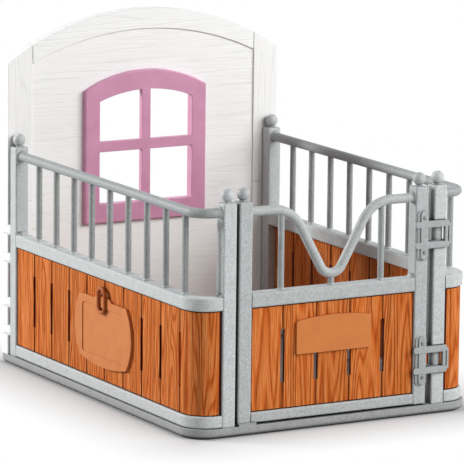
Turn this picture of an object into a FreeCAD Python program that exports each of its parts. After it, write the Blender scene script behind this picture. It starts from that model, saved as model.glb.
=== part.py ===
import FreeCAD, Part
import math
import os
import Sketcher

# Toy horse stall, about one twentieth of a real one, in millimetres.
# The origin is the middle of the base's underside: +X runs to the right along the gate,
# +Y runs back to the wall and +Z is up. The gate is shut.

SIZES = {
    # fences and posts
    "fence_width": 151.0,
    "fence_depth": 190.4,
    "corner_radius": 12.5,
    "corner_return": 2.6,
    "post_side": 7.0,
    "post_top": 110.0,
    "post_edge_round": 0.8,
    "post_top_chamfer": 0.5,
    "peg_dia": 3.6,
    "peg_length": 2.6,
    "peg_fit": 0.1,
    "ball_dia": 6.2,
    "ball_neck_dia": 3.2,
    "ball_lift": 3.5,
    # rails and bars
    "bottom_rail_height": 5.8,
    "panel_height": 49.5,
    "mid_rail_height": 6.3,
    "rail_edge_round": 0.8,
    "top_rail_dia": 4.6,
    "top_rail_axis": 105.6,
    "bar_dia": 3.0,
    "bar_count": 9,
    "bar_end_margin": 3.1,
    # plank panels
    "panel_thickness": 1.6,
    "panel_inset": 1.0,
    "shadow_gap": 0.5,
    "shadow_depth": 1.0,
    "groove_width": 0.9,
    "groove_depth": 0.4,
    "slot_width": 2.2,
    "slot_rise": 12.4,
    "slot_height": 25.5,
    # base
    "base_height": 4.8,
    "base_margin": 1.3,
    "base_back_margin": 0.6,
    "base_back_round": 3.0,
    "base_edge_round": 0.3,
    "base_foot_round": 2.6,
    "floor_thickness": 2.0,
    "base_rib": 2.0,
    "base_cell_length": 42.0,
    "stop_width": 9.3,
    "stop_height": 1.3,
    "stop_clear": 0.3,
    # back wall
    "wall_setback": 0.3,
    "wall_thickness": 6.5,
    "wall_shoulder": 151.0,
    "wall_rise": 23.5,
    "border_side": 13.4,
    "border_top": 10.1,
    "border_bottom": 12.0,
    "field_rise": 14.2,
    "field_recess": 0.8,
    "seam_width": 0.5,
    "seam_depth": 0.4,
    "seam_height": 81.6,
    "notch_middle": 42.6,
    "notch_near": 11.25,
    "notch_far": 25.4,
    "notch_height": 5.0,
    "notch_depth": 5.0,
    "tongue_length": 30.0,
    "tongue_thickness": 2.5,
    "tongue_depth": 3.0,
    "tongue_spacing": 90.0,
    "tongue_fit": 0.2,
    # window frame
    "window_width": 68.8,
    "window_sill": 67.4,
    "window_drop": 20.4,
    "window_rise": 9.3,
    "window_side": 8.1,
    "window_head": 9.8,
    "window_foot": 9.6,
    "window_proud": 2.1,
    "window_bevel": 0.5,
    "window_inner_rise": 5.0,
    "window_lip": 0.9,
    "window_lip_depth": 2.0,
    "window_lip_fit": 0.15,
    "glazing_bar": 4.8,
    "crossbar": 5.1,
    "crossbar_lift": 0.6,
    # gate
    "latch_gap": 1.4,
    "hinge_gap": 3.2,
    "gate_clear": 0.8,
    "gate_mid_rail_height": 6.8,
    "gate_rail_dia": 4.5,
    "gate_rail_axis": 104.8,
    "dip_depth": 32.4,
    "dip_angle": 61.0,
    "dip_shoulder_radius": 17.0,
    "dip_bottom_radius": 6.5,
    "gate_bar_spacing": 54.2,
    "gate_slot_pitch": 18.07,
    # hinge clasps
    "upper_hinge_height": 87.0,
    "lower_hinge_height": 26.6,
    "neck_dia": 5.4,
    "neck_fit": 0.1,
    "clasp_wall": 1.35,
    "clasp_mouth": 4.2,
    "clasp_end_clear": 0.3,
    "clasp_side_clear": 0.3,
    "strap_height": 3.1,
    "strap_pitch": 10.0,
    "strap_proud": 1.3,
    "strap_depth": 0.5,
    "strap_tail": 1.3,
    "strap_reach": 4.2,
    "strap_end_round": 1.0,
    "end_bar_width": 1.6,
    "end_bar_setback": 0.7,
    "lip_width": 0.9,
    "plate_width": 5.6,
    "plate_height": 23.4,
    "plate_thickness": 0.6,
    "plate_step": 1.5,
    "plate_raise": 0.6,
    "plate_corner": 1.6,
    "rivet_spacing": 16.4,
    "rivet_dia": 1.4,
    "rivet_fit": 0.05,
    "rivet_head_dia": 2.0,
    "rivet_head_height": 0.35,
    "rivet_grip": 2.5,
    # plaques and tether ring
    "plaque_thickness": 1.3,
    "plaque_field_depth": 0.4,
    "plaque_bar": 5,
    "plaque_reach": 2,
    "plaque_clear": 8.4,
    "plaque_height": 30.0,
    "plaque_rise": 9.6,
    "plaque_bulge": 5.2,
    "plaque_sag": 2.8,
    "plaque_end_rim": 2.7,
    "plaque_rim": 2.0,
    "plaque_head": 3.7,
    "plaque_field_corner": 2.0,
    "crest_foot": 18.0,
    "crest_top": 12.0,
    "crest_height": 1.6,
    "ring_width": 8.4,
    "ring_height": 13.5,
    "ring_limb": 1.7,
    "ring_thickness": 1.4,
    "ring_bevel": 0.4,
    "ring_rise": 23.3,
    "gate_plaque_width": 40.4,
    "gate_plaque_height": 15.9,
    "gate_plaque_rise": 25.3,
    "gate_plaque_corner": 0.8,
    "gate_plaque_arch": 1.6,
    "gate_plaque_thickness": 1.2,
}

doc = FreeCAD.newDocument("horse_stall")
sheet = doc.addObject("Spreadsheet::Sheet", "sizes")
for row, (alias, number) in enumerate(SIZES.items(), start=1):
    sheet.set(f"A{row}", alias)
    sheet.set(f"B{row}", str(number))
    sheet.setAlias(f"B{row}", alias)
doc.recompute()

# Places that several pieces share, as expressions on the sheet.
POST_HALF = "(sizes.post_side / 2)"
HALF_WIDTH = "(sizes.fence_width / 2)"
BASE_HALF_WIDTH = f"({HALF_WIDTH} + sizes.base_margin)"
BASE_DEPTH = "(sizes.base_margin + sizes.fence_depth + sizes.wall_thickness + sizes.base_back_margin)"
FRONT_Y = f"(sizes.base_margin - {BASE_DEPTH} / 2)"
REAR_Y = f"({FRONT_Y} + sizes.fence_depth)"
SIDE_LINE = f"({HALF_WIDTH} - {POST_HALF})"
FRONT_LINE = f"({FRONT_Y} + {POST_HALF})"
REAR_POST_LINE = f"({REAR_Y} - {POST_HALF})"
RAIL_START = f"({REAR_Y} - sizes.post_side)"
BEND = f"(sizes.corner_radius - {POST_HALF})"
STRAIGHT = f"({RAIL_START} - {FRONT_LINE} - {BEND})"
BAR_PITCH = f"(({STRAIGHT} - sizes.bar_end_margin) / sizes.bar_count)"
DOOR_HALF = f"({HALF_WIDTH} - sizes.corner_radius - sizes.corner_return - sizes.post_side)"
DOOR_POST_LINE = f"({DOOR_HALF} + {POST_HALF})"
PANEL_Z = "(sizes.base_height + sizes.bottom_rail_height)"
MID_Z = f"({PANEL_Z} + sizes.panel_height)"
MID_TOP = f"({MID_Z} + sizes.mid_rail_height)"
GATE_LEFT = f"(sizes.latch_gap - {DOOR_HALF})"
GATE_RIGHT = f"({DOOR_HALF} - sizes.hinge_gap)"
GATE_MIDDLE = f"(({GATE_LEFT} + {GATE_RIGHT}) / 2)"
GATE_BOTTOM = "(sizes.base_height + sizes.gate_clear)"
GATE_MID_TOP = f"({MID_Z} + sizes.gate_mid_rail_height)"
GATE_RAIL_LEFT = f"({GATE_LEFT} + sizes.post_side)"
GATE_RAIL_RIGHT = f"({GATE_RIGHT} - sizes.post_side)"
PANEL_OUT = f"({POST_HALF} - sizes.panel_inset)"
PANEL_IN = f"({PANEL_OUT} - sizes.panel_thickness)"
NECK_BORE = "(sizes.neck_dia / 2 + sizes.neck_fit)"
CLASP_RADIUS = f"({NECK_BORE} + sizes.clasp_wall)"
CLASP_HALF = "((sizes.strap_pitch + sizes.strap_height) / 2)"

nodes = []


def value(expression):
    """The number that an expression gives now."""
    return float(sheet.evalExpression(expression))


def minus(expression):
    return f"(-({expression}))"


def keep(label, obj):
    """Names a finished sub-part, so that it is written as a node."""
    obj.Label = label
    nodes.append(obj)
    return obj


def new_body(label, x="0", y="0", z="0", node=True):
    """An empty body whose own origin stands at the given place."""
    body = doc.addObject("PartDesign::Body", label)
    for axis, place in zip("xyz", (x, y, z)):
        body.setExpression(f"Placement.Base.{axis}", place)
    return keep(label, body) if node else body


def new_sketch(body, name, plane, offset="0"):
    """A sketch on one of the body's origin planes, moved along that plane's normal."""
    sketch = body.newObject("Sketcher::SketchObject", name)
    support = next(f for f in body.Origin.OriginFeatures if f.Role == plane)
    sketch.AttachmentSupport = [(support, "")]
    sketch.MapMode = "FlatFace"
    sketch.setExpression("AttachmentOffset.Base.z", offset)
    return sketch


def bind_constraint(sketch, constraint, expression):
    index = sketch.addConstraint(constraint)
    sketch.setExpression(f"Constraints[{index}]", expression)


def pin_point(sketch, geometry, point, x, y):
    """Holds a point of the sketch at the given expressions from the sketch's origin."""
    for kind, place in (("DistanceX", x), ("DistanceY", y)):
        bind_constraint(sketch, Sketcher.Constraint(kind, -1, 1, geometry, point, value(place)), place)


def arc_between(start, end, radius, turn):
    """The short arc from start to end; turn is 1 for counter-clockwise and -1 for clockwise."""
    chord = end - start
    half = chord.Length / 2
    side = FreeCAD.Vector(-chord.y, chord.x, 0).normalize() * turn
    centre = (start + end) * 0.5 + side * math.sqrt(max(radius ** 2 - half ** 2, 0.0))
    circle = Part.Circle(centre, FreeCAD.Vector(0, 0, 1), radius)
    angles = [math.atan2(p.y - centre.y, p.x - centre.x) for p in (start, end)]
    if turn < 0:
        angles.reverse()
    return Part.ArcOfCircle(circle, angles[0], angles[1])


def draw(sketch, corners, closed=True):
    """Draws lines through the corners, each (x, y) or, after an arc, (x, y, radius, turn)."""
    points = [FreeCAD.Vector(value(c[0]), value(c[1]), 0) for c in corners]
    legs = []
    for k in range(0 if closed else 1, len(corners)):
        start, end = points[k - 1], points[k]
        if len(corners[k]) == 4:
            radius, turn = corners[k][2:]
            index = sketch.addGeometry(arc_between(start, end, value(radius), turn))
            bind_constraint(sketch, Sketcher.Constraint("Radius", index, value(radius)), radius)
            legs.append((index, 1, 2) if turn > 0 else (index, 2, 1))
        else:
            legs.append((sketch.addGeometry(Part.LineSegment(start, end)), 1, 2))
    if not closed:
        pin_point(sketch, legs[0][0], legs[0][1], *corners[0][:2])
    first = 0 if closed else 1
    for k, (index, _, tail) in enumerate(legs):
        pin_point(sketch, index, tail, *corners[k + first][:2])
        if closed or k + 1 < len(legs):
            following = legs[(k + 1) % len(legs)]
            sketch.addConstraint(Sketcher.Constraint("Coincident", index, tail, following[0], following[1]))


def draw_circle(sketch, x, y, radius):
    place = FreeCAD.Vector(value(x), value(y), 0)
    index = sketch.addGeometry(Part.Circle(place, FreeCAD.Vector(0, 0, 1), value(radius)))
    bind_constraint(sketch, Sketcher.Constraint("Radius", index, value(radius)), radius)
    pin_point(sketch, index, 3, x, y)


def box_corners(left, right, bottom, top):
    return [(left, bottom), (right, bottom), (right, top), (left, top)]


def rounded_corners(left, right, bottom, top, radius):
    """The outline of a rectangle with its four corners rounded."""
    return [
        (f"{left} + {radius}", bottom),
        (f"{right} - {radius}", bottom),
        (right, f"{bottom} + {radius}", radius, 1),
        (right, f"{top} - {radius}"),
        (f"{right} - {radius}", top, radius, 1),
        (f"{left} + {radius}", top),
        (left, f"{top} - {radius}", radius, 1),
        (left, f"{bottom} + {radius}"),
        (f"{left} + {radius}", bottom, radius, 1),
    ][1:]


def pad(body, sketch, length, reverse=False):
    feature = body.newObject("PartDesign::Pad", f"{sketch.Name}_pad")
    feature.Profile = sketch
    feature.setExpression("Length", length)
    feature.Reversed = reverse
    sketch.Visibility = False
    return feature


def pocket(body, sketch, depth, reverse=False):
    """Cuts the sketch against its normal, or along it when reversed, and checks that it cut."""
    doc.recompute()
    before = body.Shape.Volume
    feature = body.newObject("PartDesign::Pocket", f"{sketch.Name}_cut")
    feature.Profile = sketch
    feature.setExpression("Length", depth)
    feature.Reversed = reverse
    doc.recompute()
    if body.Shape.Volume >= before:
        raise RuntimeError(f"{feature.Name} removes nothing")
    return feature


def level_face(shape, axis, level):
    """The name of the flat face square to an axis (0, 1 or 2) that lies at the given level."""
    def miss(face):
        box = face.BoundBox
        low, high = ((box.XMin, box.XMax), (box.YMin, box.YMax), (box.ZMin, box.ZMax))[axis]
        return abs(low - level) + abs(high - level)
    nearest = min(range(len(shape.Faces)), key=lambda k: miss(shape.Faces[k]))
    return f"Face{nearest + 1}"


def soften(body, kind, base, face_names, size):
    """Rounds (Fillet) or bevels (Chamfer) every edge of the named faces."""
    feature = body.newObject(f"PartDesign::{kind}", f"{base.Name}_{kind.lower()}")
    feature.Base = (base, face_names)
    feature.setExpression("Radius" if kind == "Fillet" else "Size", size)
    return feature


def pipe(body, profile, spine):
    feature = body.newObject("PartDesign::AdditivePipe", f"{profile.Name}_pipe")
    feature.Profile = profile
    feature.Spine = spine
    return feature


def cylinder(name, x, y, z, radius, height):
    solid = doc.addObject("Part::Cylinder", name)
    solid.setExpression("Radius", radius)
    solid.setExpression("Height", height)
    for axis, place in zip("xyz", (x, y, z)):
        solid.setExpression(f"Placement.Base.{axis}", place)
    return solid


def cut(label, base, tool):
    result = doc.addObject("Part::Cut", label)
    result.Base = base
    result.Tool = tool
    return keep(label, result)


def mirror(name, source):
    """The same piece on the other side of the stall's middle plane."""
    twin = doc.addObject("Part::Mirroring", name)
    twin.Source = source
    twin.Base = (0, 0, 0)
    twin.Normal = (1, 0, 0)
    return twin


# Base: a moulded plinth with a rounded top edge, hollow between ribs underneath.

def make_base():
    body = new_body("base_plate")
    outer = "(sizes.corner_radius + sizes.base_margin)"
    back = "sizes.base_back_round"
    half, deep = BASE_HALF_WIDTH, f"({BASE_DEPTH} / 2)"
    plan = new_sketch(body, "base_plan", "XY_Plane")
    draw(plan, [
        (f"{half} - {outer}", minus(deep)),
        (half, f"{outer} - {deep}", outer, 1),
        (half, f"{deep} - {back}"),
        (f"{half} - {back}", deep, back, 1),
        (f"{back} - {half}", deep),
        (minus(half), f"{deep} - {back}", back, 1),
        (minus(half), f"{outer} - {deep}"),
        (f"{outer} - {half}", minus(deep), outer, 1),
    ])
    slab = pad(body, plan, "sizes.base_height")
    doc.recompute()
    top = level_face(body.Shape, 2, value("sizes.base_height"))
    crisp = soften(body, "Fillet", slab, [top], "sizes.base_edge_round")
    doc.recompute()
    soften(body, "Fillet", crisp, [level_face(body.Shape, 2, 0)], "sizes.base_foot_round")

    # the stop that the closed gate's free end comes up against
    stop = new_sketch(body, "gate_stop", "XY_Plane", "sizes.base_height - sizes.base_edge_round")
    stop_front = f"({FRONT_Y} - sizes.base_margin + sizes.stop_clear / 2)"
    draw(stop, box_corners(GATE_LEFT, f"{GATE_LEFT} + sizes.stop_width",
                           stop_front, f"{FRONT_Y} - sizes.stop_clear"))
    pad(body, stop, "sizes.base_edge_round + sizes.stop_height")

    # cells between the ribs, inside a rim that carries the posts and the wall
    rim = "(sizes.base_margin + sizes.post_side + sizes.base_rib)"
    cell_front = f"({FRONT_Y} + sizes.post_side + sizes.base_rib)"
    cell_back = f"({RAIL_START} - sizes.base_rib)"
    reach = value(f"{cell_back} - {cell_front} + sizes.base_rib")
    rows = max(1, math.floor(reach / value("sizes.base_cell_length + sizes.base_rib")))
    step = f"(({cell_back} - {cell_front} + sizes.base_rib) / {rows})"
    cells = new_sketch(body, "base_cells", "XY_Plane")
    for row in range(rows):
        start = f"{cell_front} + {row} * {step}"
        end = f"{start} + {step} - sizes.base_rib"
        draw(cells, box_corners(f"{rim} - {BASE_HALF_WIDTH}", "-sizes.base_rib / 2", start, end))
        draw(cells, box_corners("sizes.base_rib / 2", f"{BASE_HALF_WIDTH} - {rim}", start, end))
    pocket(body, cells, "sizes.base_height - sizes.floor_thickness", reverse=True)

    # sockets for the post pegs and slots for the wall's tongues
    sockets = new_sketch(body, "peg_sockets", "XY_Plane", "sizes.base_height")
    for x, y in ((SIDE_LINE, REAR_POST_LINE), (DOOR_POST_LINE, FRONT_LINE)):
        for side in (x, minus(x)):
            draw_circle(sockets, side, y, "sizes.peg_dia / 2 + sizes.peg_fit")
    for middle in ("sizes.tongue_spacing / 2", "-sizes.tongue_spacing / 2"):
        long = "(sizes.tongue_length / 2 + sizes.tongue_fit)"
        thick = "(sizes.tongue_thickness / 2 + sizes.tongue_fit)"
        wall_middle = f"({REAR_Y} + sizes.wall_thickness / 2)"
        draw(sockets, box_corners(f"{middle} - {long}", f"{middle} + {long}",
                                  f"{wall_middle} - {thick}", f"{wall_middle} + {thick}"))
    pocket(body, sockets, "sizes.tongue_depth + sizes.tongue_fit")


# Back wall: a board with an arched top, a raised border on both faces, a window opening and
# toothed side edges that another wall hooks into.

def arch_radius(half, rise):
    """The radius of the arc over a span of twice half that rises by rise."""
    return f"((({half}) * ({half}) + {rise} * {rise}) / (2 * {rise}))"


def arched(half, bottom, side_top, rise):
    """A rectangle with an arc in place of its top side."""
    radius = arch_radius(half, rise)
    return [(minus(half), bottom), (half, bottom), (half, side_top), (minus(half), side_top, radius, 1)]


FIELD_CROWN = "(sizes.wall_shoulder + sizes.wall_rise - sizes.border_top)"
WINDOW_CROWN = f"({FIELD_CROWN} - sizes.window_drop)"
PANE_HALF = "(sizes.window_width / 2 - sizes.window_side)"
PANE_FOOT = "(sizes.window_sill + sizes.window_foot)"
PANE_CROWN = f"({WINDOW_CROWN} - sizes.window_head)"
PANE_SIDE_TOP = f"({PANE_CROWN} - sizes.window_inner_rise)"
PANE_RADIUS = arch_radius(PANE_HALF, "sizes.window_inner_rise")


def round_panes(margin):
    """The outline of the four panes taken together, grown by a margin all round."""
    return [
        (f"-{PANE_HALF} - {margin}", f"{PANE_FOOT} - {margin}"),
        (f"{PANE_HALF} + {margin}", f"{PANE_FOOT} - {margin}"),
        (f"{PANE_HALF} + {margin}", PANE_SIDE_TOP),
        (f"-{PANE_HALF} - {margin}", PANE_SIDE_TOP,
         arch_radius(f"({PANE_HALF} + {margin})", f"(sizes.window_inner_rise + {margin})"), 1),
    ]


def make_wall():
    body = new_body("back_wall")
    half = f"({BASE_HALF_WIDTH} - sizes.wall_setback)"
    front = minus(REAR_Y)
    back = minus(f"{REAR_Y} + sizes.wall_thickness")
    outline = new_sketch(body, "wall_outline", "XZ_Plane", front)
    notches = []
    for reach in ("-sizes.notch_far", "-sizes.notch_near", "sizes.notch_near", "sizes.notch_far"):
        middle = f"sizes.notch_middle + {reach}"
        notches.append((f"{middle} - sizes.notch_height / 2", f"{middle} + sizes.notch_height / 2"))
    deep = f"({half} - sizes.notch_depth)"
    right = [(half, "sizes.base_height")]
    for low, high in notches:
        right += [(half, low), (deep, low), (deep, high), (half, high)]
    right.append((half, "sizes.wall_shoulder"))
    left = [(minus(x), z) for x, z in reversed(right)]
    left[0] += (arch_radius(half, "sizes.wall_rise"), 1)
    draw(outline, right + left)
    pad(body, outline, "sizes.wall_thickness", reverse=True)

    field_half = f"({half} - sizes.border_side)"
    field_shoulder = f"({FIELD_CROWN} - sizes.field_rise)"
    field = arched(field_half, "sizes.base_height + sizes.border_bottom", field_shoulder, "sizes.field_rise")
    front_field = new_sketch(body, "front_field", "XZ_Plane", front)
    draw(front_field, field)
    pocket(body, front_field, "sizes.field_recess")
    back_field = new_sketch(body, "back_field", "XZ_Plane", back)
    draw(back_field, field)
    pocket(body, back_field, "sizes.field_recess", reverse=True)

    # seams: each side board is in two lengths, and the arched top piece fits between the boards
    seams = new_sketch(body, "border_seams", "XZ_Plane", front)
    low, high = "sizes.seam_height - sizes.seam_width / 2", "sizes.seam_height + sizes.seam_width / 2"
    near, far = f"{field_half} - sizes.seam_width", field_half
    top = "sizes.wall_shoulder + sizes.wall_rise"
    draw(seams, box_corners(minus(half), minus(field_half), low, high))
    draw(seams, box_corners(field_half, half, low, high))
    draw(seams, box_corners(minus(far), minus(near), field_shoulder, top))
    draw(seams, box_corners(near, far, field_shoulder, top))
    pocket(body, seams, "sizes.seam_depth")

    opening = new_sketch(body, "wall_opening", "XZ_Plane", front)
    draw(opening, round_panes("sizes.window_lip"))
    pocket(body, opening, "sizes.wall_thickness")

    tongues = new_sketch(body, "wall_tongues", "XY_Plane", "sizes.base_height")
    middle_y = f"({REAR_Y} + sizes.wall_thickness / 2)"
    for middle in ("sizes.tongue_spacing / 2", "-sizes.tongue_spacing / 2"):
        draw(tongues, box_corners(f"{middle} - sizes.tongue_length / 2", f"{middle} + sizes.tongue_length / 2",
                                  f"{middle_y} - sizes.tongue_thickness / 2",
                                  f"{middle_y} + sizes.tongue_thickness / 2"))
    pad(body, tongues, "sizes.tongue_depth", reverse=True)


# Window frame: an arched frame with four open panes, glued on the wall's front field.

def make_window():
    body = new_body("window_frame")
    front = f"sizes.window_proud - {REAR_Y}"
    seat = minus(f"{REAR_Y} + sizes.field_recess")
    outline = new_sketch(body, "window_outline", "XZ_Plane", front)
    draw(outline, arched("(sizes.window_width / 2)", "sizes.window_sill",
                         f"({WINDOW_CROWN} - sizes.window_rise)", "sizes.window_rise"))
    board = pad(body, outline, "sizes.window_proud + sizes.field_recess", reverse=True)
    doc.recompute()
    face = level_face(body.Shape, 1, value(f"{REAR_Y} - sizes.window_proud"))
    soften(body, "Chamfer", board, [face], "sizes.window_bevel")

    # the lip that drops into the wall's opening, then the panes through frame and lip
    lip = new_sketch(body, "window_lip", "XZ_Plane", seat)
    draw(lip, round_panes("(sizes.window_lip - sizes.window_lip_fit)"))
    pad(body, lip, "sizes.window_lip_depth", reverse=True)
    room = new_sketch(body, "window_lip_room", "XZ_Plane", seat)
    draw(room, round_panes("0"))
    pocket(body, room, "sizes.window_lip_depth")

    inner = "(sizes.glazing_bar / 2)"
    inner_top = f"({PANE_CROWN} - {PANE_RADIUS} + sqrt({PANE_RADIUS} * {PANE_RADIUS} - {inner} * {inner}))"
    crossbar = f"(({PANE_FOOT} + {PANE_CROWN}) / 2 + sizes.crossbar_lift)"
    lower = f"({crossbar} - sizes.crossbar / 2)"
    upper = f"({crossbar} + sizes.crossbar / 2)"
    panes = new_sketch(body, "window_panes", "XZ_Plane", front)
    draw(panes, box_corners(minus(PANE_HALF), minus(inner), PANE_FOOT, lower))
    draw(panes, box_corners(inner, PANE_HALF, PANE_FOOT, lower))
    draw(panes, [(inner, upper), (PANE_HALF, upper), (PANE_HALF, PANE_SIDE_TOP),
                 (inner, inner_top, PANE_RADIUS, 1)])
    draw(panes, [(minus(PANE_HALF), upper), (minus(inner), upper), (minus(inner), inner_top),
                 (minus(PANE_HALF), PANE_SIDE_TOP, PANE_RADIUS, 1)])
    pocket(body, panes, "sizes.window_proud + sizes.field_recess")


# Posts: square posts with a ball on a short neck; the fence posts stand in the base on pegs.

def make_post(label, x, y, foot, peg=True):
    body = new_body(label, x, y)
    section = new_sketch(body, f"{label}_section", "XY_Plane", foot)
    side = rounded_corners(minus(POST_HALF), POST_HALF, minus(POST_HALF), POST_HALF, "sizes.post_edge_round")
    draw(section, side)
    shaft = pad(body, section, f"sizes.post_top - {foot}")
    doc.recompute()
    top = level_face(body.Shape, 2, value("sizes.post_top"))
    soften(body, "Chamfer", shaft, [top], "sizes.post_top_chamfer")

    neck, ball = "(sizes.ball_neck_dia / 2)", "(sizes.ball_dia / 2)"
    centre = "(sizes.post_top + sizes.ball_lift)"
    root = "(sizes.post_top - sizes.post_top_chamfer)"
    finial = new_sketch(body, f"{label}_finial", "XZ_Plane")
    neck_top = f"{centre} - sqrt({ball} * {ball} - {neck} * {neck})"
    draw(finial, [("0", root), (neck, root), (neck, neck_top), (ball, centre, ball, 1),
                  ("0", f"{centre} + {ball}", ball, 1)])
    turned = body.newObject("PartDesign::Revolution", f"{label}_ball")
    turned.Profile = finial
    turned.ReferenceAxis = (finial, ["V_Axis"])
    turned.Angle = 360
    if peg:
        stub = new_sketch(body, f"{label}_peg", "XY_Plane", foot)
        draw_circle(stub, "0", "0", "sizes.peg_dia / 2")
        pad(body, stub, "sizes.peg_length", reverse=True)
    return body


def cut_hinge_necks(body):
    """Turns the post down to a round neck where each hinge clasp goes round it."""
    wide = "sizes.post_side"
    for height in ("lower", "upper"):
        start = f"sizes.{height}_hinge_height - {CLASP_HALF} - sizes.clasp_end_clear"
        ring = new_sketch(body, f"{height}_neck", "XY_Plane", start)
        draw(ring, box_corners(minus(wide), wide, minus(wide), wide))
        draw_circle(ring, "0", "0", "sizes.neck_dia / 2")
        pocket(body, ring, f"2 * ({CLASP_HALF} + sizes.clasp_end_clear)", reverse=True)


# Fences: rails that run from the rear post, round the front corner, to the front post.

def fence_spine(body, name, height):
    path = new_sketch(body, name, "XY_Plane", height)
    draw(path, [
        (minus(SIDE_LINE), RAIL_START),
        (minus(SIDE_LINE), f"{FRONT_LINE} + {BEND}"),
        (f"{BEND} - {SIDE_LINE}", FRONT_LINE, BEND, 1),
        (f"-{DOOR_HALF} - sizes.post_side", FRONT_LINE),
    ], closed=False)
    return path


def fence_member(label, height, draw_profile, node=True):
    """A piece of constant section that is bent along the fence."""
    body = new_body(label, node=node)
    spine = fence_spine(body, f"{label}_path", height)
    profile = new_sketch(body, f"{label}_profile", "XZ_Plane", minus(RAIL_START))
    draw_profile(profile)
    pipe(body, profile, spine)
    return body


def flat_rail(label, low, height):
    def section(profile):
        outer, inner = f"(-{SIDE_LINE} - {POST_HALF})", f"({POST_HALF} - {SIDE_LINE})"
        draw(profile, rounded_corners(outer, inner, low, f"({low} + {height})", "sizes.rail_edge_round"))
    return fence_member(label, low, section)


def station(index):
    """Where along the side fence a bar, and the plank joint below it, stands."""
    return f"({RAIL_START} - {index} * {BAR_PITCH})"


def stations():
    """The numbers of the bars on the straight part of the side fence."""
    return range(1, 1 + round(value("sizes.bar_count")))


SLOT_LOW = f"({PANEL_Z} + sizes.slot_rise)"
SLOT_HIGH = f"({SLOT_LOW} + sizes.slot_height)"


def plank_cut(body, name, plane, offset, places, width, low, high, depth, along):
    """Cuts one upright strip at each place, against or along the plane's normal."""
    sketch = new_sketch(body, name, plane, offset)
    for place in places:
        draw(sketch, box_corners(f"{place} - {width} / 2", f"{place} + {width} / 2", low, high))
    pocket(body, sketch, depth, reverse=along)


def make_fence_panel(label, slotted, node=True):
    """A plank panel bent round the corner, with a groove at each joint and slots at some."""
    outer, inner = f"(-{SIDE_LINE} - {PANEL_OUT})", f"(-{SIDE_LINE} - {PANEL_IN})"
    step = f"({outer} + sizes.shadow_depth)"
    low, high = f"({PANEL_Z} + sizes.shadow_gap)", f"({MID_Z} - sizes.shadow_gap)"
    section = [(inner, PANEL_Z), (inner, MID_Z), (step, MID_Z), (step, high),
               (outer, high), (outer, low), (step, low), (step, PANEL_Z)]
    body = fence_member(label, PANEL_Z, lambda profile: draw(profile, section), node)
    rear_end = f"({RAIL_START} - sizes.shadow_gap / 2)"
    plank_cut(body, f"{label}_rear_gap", "YZ_Plane", outer, [rear_end], "sizes.shadow_gap", PANEL_Z, MID_Z,
              "sizes.shadow_depth", True)
    front_end = f"(-{DOOR_HALF} - sizes.post_side - sizes.shadow_gap / 2)"
    plank_cut(body, f"{label}_front_gap", "XZ_Plane", f"{PANEL_OUT} - {FRONT_LINE}", [front_end],
              "sizes.shadow_gap", PANEL_Z, MID_Z, "sizes.shadow_depth", False)
    joints = [station(index) for index in stations()]
    open_joints = [station(index) for index in slotted]
    plank_cut(body, f"{label}_slots", "YZ_Plane", outer, open_joints, "sizes.slot_width", SLOT_LOW, SLOT_HIGH,
              "sizes.panel_thickness", True)
    plank_cut(body, f"{label}_outer", "YZ_Plane", outer, joints, "sizes.groove_width", PANEL_Z, MID_Z,
              "sizes.groove_depth", True)
    plank_cut(body, f"{label}_inner", "YZ_Plane", inner, joints, "sizes.groove_width", PANEL_Z, MID_Z,
              "sizes.groove_depth", False)
    return body


PLAQUE_HALF = f"(sizes.plaque_reach * {BAR_PITCH} - sizes.plaque_bulge - sizes.plaque_clear)"


def clear_of_plaque():
    """The plank joints that the left plaque doesn't cover."""
    return [k for k in stations() if abs(k - value("sizes.plaque_bar")) >= value("sizes.plaque_reach")]


def make_fences():
    left = {}
    make_post("left_rear_post", minus(SIDE_LINE), REAR_POST_LINE, "sizes.base_height")
    make_post("left_front_post", minus(DOOR_POST_LINE), FRONT_LINE, "sizes.base_height")
    left["bottom_rail"] = flat_rail("left_bottom_rail", "sizes.base_height", "sizes.bottom_rail_height")
    make_fence_panel("left_panel", clear_of_plaque())
    left["mid_rail"] = flat_rail("left_mid_rail", MID_Z, "sizes.mid_rail_height")
    left["top_rail"] = fence_member(
        "left_top_rail", "sizes.top_rail_axis",
        lambda profile: draw_circle(profile, minus(SIDE_LINE), "sizes.top_rail_axis", "sizes.top_rail_dia / 2"))

    # the bars stand on the mid rail and are hollowed at the top to fit the round rail
    rail_core = cylinder("rail_core", minus(SIDE_LINE), RAIL_START, "sizes.top_rail_axis",
                         "sizes.top_rail_dia / 2", STRAIGHT)
    rail_core.Placement.Rotation = FreeCAD.Rotation(FreeCAD.Vector(1, 0, 0), 90)
    for index in stations():
        stick = cylinder(f"left_stick_{index}", minus(SIDE_LINE), station(index), MID_TOP,
                         "sizes.bar_dia / 2", f"sizes.top_rail_axis - {MID_TOP}")
        left[f"bar_{index}"] = cut(f"left_bar_{index}", stick, rail_core)

    make_post("right_rear_post", SIDE_LINE, REAR_POST_LINE, "sizes.base_height")
    cut_hinge_necks(make_post("right_hinge_post", DOOR_POST_LINE, FRONT_LINE, "sizes.base_height"))
    for name, piece in left.items():
        keep(f"right_{name}", mirror(f"right_{name}", piece))

    # the right panel leaves room for the lower clasp to turn
    room = cylinder("clasp_room", DOOR_POST_LINE, FRONT_LINE,
                    f"sizes.lower_hinge_height - {CLASP_HALF} - sizes.clasp_end_clear",
                    f"{CLASP_RADIUS} + sizes.clasp_side_clear",
                    f"2 * ({CLASP_HALF} + sizes.clasp_end_clear)")
    board = make_fence_panel("right_board", stations(), node=False)
    cut("right_panel", mirror("right_board_turned", board), room)


# Plaque and tether ring on the left fence: a blank plate with bulged ends, a sunk field and a low crest,
# and an oval ring that lies flat on the plate and stands up past its crest.

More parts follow.
